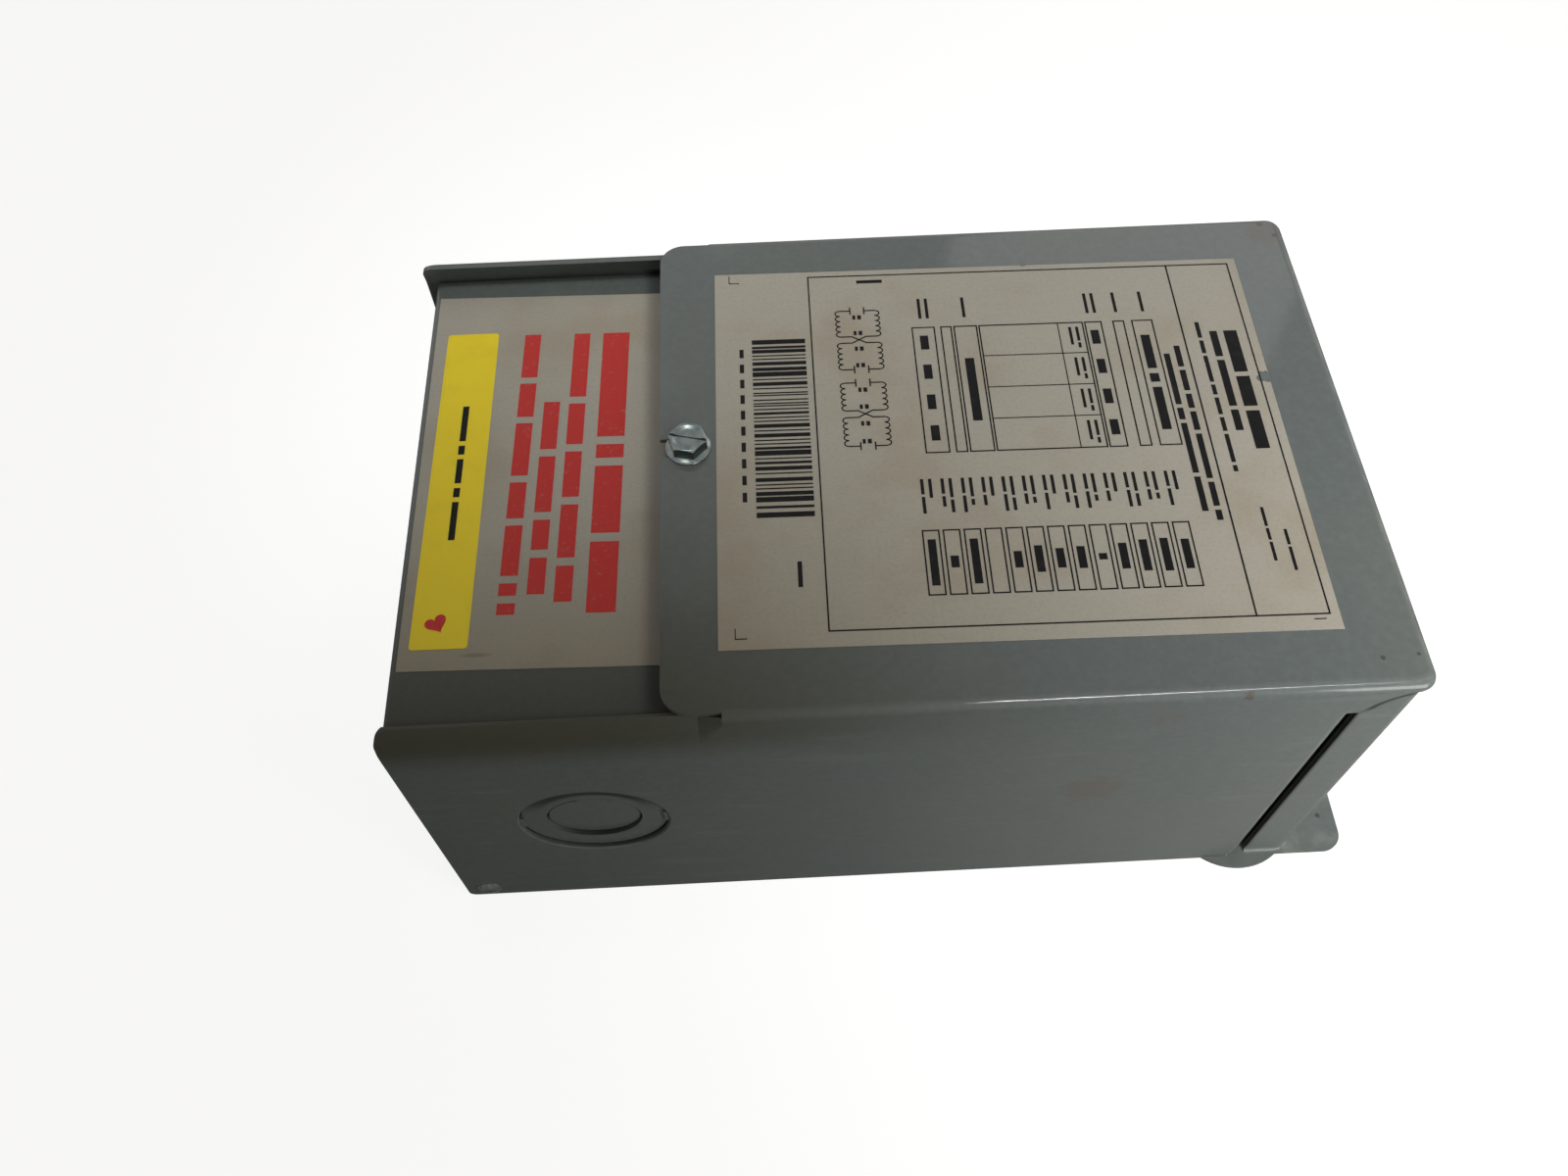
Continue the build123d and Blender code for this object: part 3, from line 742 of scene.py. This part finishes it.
def aged_film(place):
    """Yellowed film: stains, dust in the grain, three small tears with the paint bare, painted shade
    with some soil at the near corner of the wiring end, and the lip's painted shadow.
    """
    stains = place.noise(28 * mm, 4).between(0.46, 0.72)
    grain = place.noise(0.8 * mm)
    streaks = place.noise(12 * mm, 3, (0.3, 3, 1)).between(0.5, 0.8)
    colour = (stains * 0.42).blend(film, film_stain)
    colour = (grain.between(0.35, 0.8) * 0.2).blend(colour, film_grain)
    colour = (streaks * 0.14).blend(colour, film_streak)
    # painted shade, with some soil, over the film at the near corner of the wiring end
    colour = (corner_shade_and_soil(place) * 0.7).blend(colour, film_soil_and_shade)
    # painted shadow of the lip on the film
    lip_shadow = seam_shade(place)[1]
    colour = (lip_shadow * 0.5).blend(colour, grime_and_shade)
    for centre, radius in torn_places:
        torn = place.within(centre, radius, 0.8)
        colour = torn.between(0.15, 0.3).blend(colour, torn_edge)
        colour = torn.between(0.45, 0.6).blend(colour, grey)
    weave = grain.bump(0.12, 0.08 * mm)
    return {"Base Color": colour, "Roughness": grain * 0.12 + 0.42, "Normal": weave}


label_film = finish("aged_film", {}, aged_film)
paint("rating_label", label_film)

# Label on the cover: the same film, printed with four rows of plain bars in red. It is stuck on
# between the end wall's bend and the lip, and has a short crease beside the tape.
cover_low, cover_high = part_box("cover_label")
cover_centre = (cover_low + cover_high) / 2
cover_turn = math.radians(-1.4)
cover_width = 108.6 * mm
cover_length = cover_high.x - cover_low.x
crease = spot(-96.5, -45.3, 89.6)
crease_stretch = (0.16, 1, 1)


def red_ink(place):
    """Red printing ink with the film showing through thin places."""
    thin = place.noise(1.1 * mm, 3)
    colour = thin.between(0.55, 0.85).blend(srgb(204, 60, 56), srgb(190, 104, 94))
    return {"Base Color": colour, "Roughness": thin * 0.15 + 0.45}


cover_print = Print(
    "cover_print", cover_centre, cover_turn, cover_high.z, cover_width / 2, cover_length / 2
)
cover_print.row(13.2, 95.1, 10.5, 6.6, (33, 4, 19, 24), 2.4)
cover_print.row(13.2, 95.1, 20.4, 4.0, (20.5, 12.4, 13.2, 14.6, 9.4), 2.2)
cover_print.row(35.2, 90.7, 26.6, 3.9, (14.4, 16.0, 8.2, 9.6), 2.2)
cover_print.row(13.2, 95.1, 32.8, 4.0, (14.0, 10.4, 15.6, 10.2, 13.6, 3.2, 7.6), 2.0)
cover_print.piece(finish("red_ink", {"Specular IOR Level": 0.2}, red_ink), "label_film")


def cover_film(place):
    """Aged film with painted shade along a short crease."""
    dressed = aged_film(place)
    span = place.vector("SUBTRACT", crease).vector("MULTIPLY", crease_stretch)
    crease_shade = 1 - span.distance((0, 0, 0)).between(0.2 * mm, 0.8 * mm)
    # painted shade: a dark line where the film is creased; the film itself stays flat
    dressed["Base Color"] = (crease_shade * 0.55).blend(dressed["Base Color"], srgb(92, 82, 66))
    return dressed


paint("cover_label", finish("aged_cover_film", {}, cover_film))

# Marking tape: bright yellow vinyl laid by hand over the cover label, with a row of dark dashes
# and a small heart drawn in red.
tape_low, tape_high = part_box("marking_tape")
tape_centre = (tape_low + tape_high) / 2
tape_turn = math.radians(-0.6)
tape_length = 90.8 * mm
tape_width = 12.7 * mm


def yellow_vinyl(place):
    """Bright yellow vinyl, slightly soiled, with the weave of its backing."""
    soil = place.noise(9 * mm, 4).between(0.45, 0.8)
    colour = (soil * 0.22).blend(srgb(255, 228, 20), srgb(206, 178, 30))
    weave = place.noise(0.5 * mm, 1).bump(0.1, 0.05 * mm)
    return {"Base Color": colour, "Roughness": soil * 0.1 + 0.4, "Normal": weave}


paint("marking_tape", finish("yellow_vinyl", {}, yellow_vinyl))

tape_print = Print("tape_print", tape_centre, tape_turn, tape_high.z, tape_length / 2, tape_width / 2)
tape_print.row(23.5, 62.5, 5.4, 1.5, (10.6, 2.6, 7.0, 2.6, 10.6), 1.4)
tape_print.piece(label_ink, "yellow_tape")

heart_u = 84.4
heart_v = 7.3
heart_size = 2.9 * 0.85
heart_lean = math.radians(62)
heart_steps = 28
heart = []
for step in range(heart_steps):
    angle = 2 * math.pi * step / heart_steps
    aside = math.sin(angle) ** 3
    lobes = 13 * math.cos(angle) - 5 * math.cos(2 * angle)
    along = (lobes - 2 * math.cos(3 * angle) - math.cos(4 * angle)) / 16
    heart.append((
        heart_u + heart_size * (aside * math.cos(heart_lean) - along * math.sin(heart_lean)),
        heart_v + heart_size * (aside * math.sin(heart_lean) + along * math.cos(heart_lean)),
    ))
heart_print = Print("heart_mark", tape_centre, tape_turn, tape_high.z, tape_length / 2, tape_width / 2)
heart_print.patch(heart)


def red_marker(place):
    """Red felt-pen ink."""
    thin = place.noise(0.9 * mm)
    colour = thin.between(0.5, 0.8).blend(srgb(190, 24, 22), srgb(206, 66, 34))
    return {"Base Color": colour, "Roughness": thin * 0.1 + 0.5}


heart_print.piece(finish("red_marker", {}, red_marker), "yellow_tape")

# Floor: a wide sheet of pale paper just under the transformer. It takes the shadow, and glows a
# little to the camera so that it is white there, as the photograph's ground is.
floor_half = 3.0
floor_glow = 0.84
floor_level = cad_box[0].z - 0.1 * mm
floor_shape = bmesh.new()
corners = ((-1, -1), (1, -1), (1, 1), (-1, 1))
floor_shape.faces.new(
    [floor_shape.verts.new((x * floor_half, y * floor_half, floor_level)) for x, y in corners]
)
floor_mesh = bpy.data.meshes.new("floor")
floor_shape.to_mesh(floor_mesh)
floor_shape.free()
floor_paper = bpy.data.materials.new("pale_floor")
floor_paper.use_nodes = True
paper_tree = floor_paper.node_tree
paper = paper_tree.nodes["Principled BSDF"]
paper.inputs["Base Color"].default_value = srgb(160, 160, 158)
paper.inputs["Roughness"].default_value = 0.9
paper.inputs["Emission Color"].default_value = (1, 1, 1, 1)
floor_rays = Shade(paper_tree).node("LightPath", {}, {})
paper_tree.links.new((floor_rays * floor_glow).socket, paper.inputs["Emission Strength"])
floor = put_in_scene("floor", floor_mesh, floor_paper)

# Studio light: a dim warm room, white to the camera and in reflections, and four lamps. A square
# one is over the wiring end and a thin strip over the near side of the tab end, both with
# narrowed beams; a wide one is beyond the far corner and one stands low beside the tab end.
world = bpy.data.worlds.new("studio")
bpy.context.scene.world = world
world.use_nodes = True
room = world.node_tree
background = room.nodes["Background"]
room_light = 0.18
room_colour = (1.0, 0.94, 0.84, 1)
camera_rays = Shade(room).node("LightPath", {}, {})
glossy_rays = Shade(room).node("LightPath", {}, {}, "Is Glossy Ray")
seen = camera_rays.maths("MAXIMUM", camera_rays, glossy_rays)
room.links.new(seen.blend(room_colour, (1, 1, 1, 1)).socket, background.inputs["Color"])
room.links.new((seen * (1 - room_light) + room_light).socket, background.inputs["Strength"])


def softbox(name, place, aim, length, width, power, beam=180):
    """A lamp at a place, turned to the point that it lights, its beam in degrees."""
    lamp = bpy.data.lights.new(name, "AREA")
    lamp.shape = "RECTANGLE"
    lamp.size = length
    lamp.size_y = width
    lamp.energy = power
    lamp.spread = math.radians(beam)
    holder = bpy.data.objects.new(name, lamp)
    bpy.context.scene.collection.objects.link(holder)
    holder.location = place
    holder.rotation_euler = (Vector(aim) - Vector(place)).to_track_quat("-Z", "Y").to_euler()
    holder.visible_camera = False


softbox("wiring_lamp", (-0.09, 0.06, 0.55), (-0.07, 0.095, 0.09), 0.12, 0.12, power=0.038, beam=36)
softbox("tab_lamp", (0.20, -0.27, 0.46), (0.20, -0.02, 0.09), 0.24, 0.012, power=0.24, beam=56)
softbox("corner_lamp", (0.20, 0.40, 0.36), (0.0, 0.0, 0.09), 0.20, 0.20, power=0.17)
softbox("low_lamp", (0.25, -0.28, 0.12), (0.05, -0.06, 0.05), 0.14, 0.14, power=0.52)

# Camera: held close above the near side, a little toward the wiring end, and tipped slightly. Its
# place, angles and lens were worked out from the edges of the case.
camera_place = spot(-33.996, -181.208, 333.600)
azimuth = math.radians(1.812)
elevation = math.radians(58.548)
roll = math.radians(-1.152)
sensor_width = 36
focal_length = 29.62
camera = bpy.data.objects.new("camera", bpy.data.cameras.new("camera"))
bpy.context.scene.collection.objects.link(camera)
bpy.context.scene.camera = camera
sight = Vector((
    math.sin(azimuth) * math.cos(elevation),
    math.cos(azimuth) * math.cos(elevation),
    -math.sin(elevation),
))
camera.location = camera_place
turned = sight.to_track_quat("-Z", "Y").to_matrix() @ Matrix.Rotation(roll, 3, "Z")
camera.rotation_euler = turned.to_euler()
camera.data.sensor_width = sensor_width
camera.data.lens = focal_length
camera.data.clip_start = 0.01
bpy.context.scene.view_settings.view_transform = "Standard"
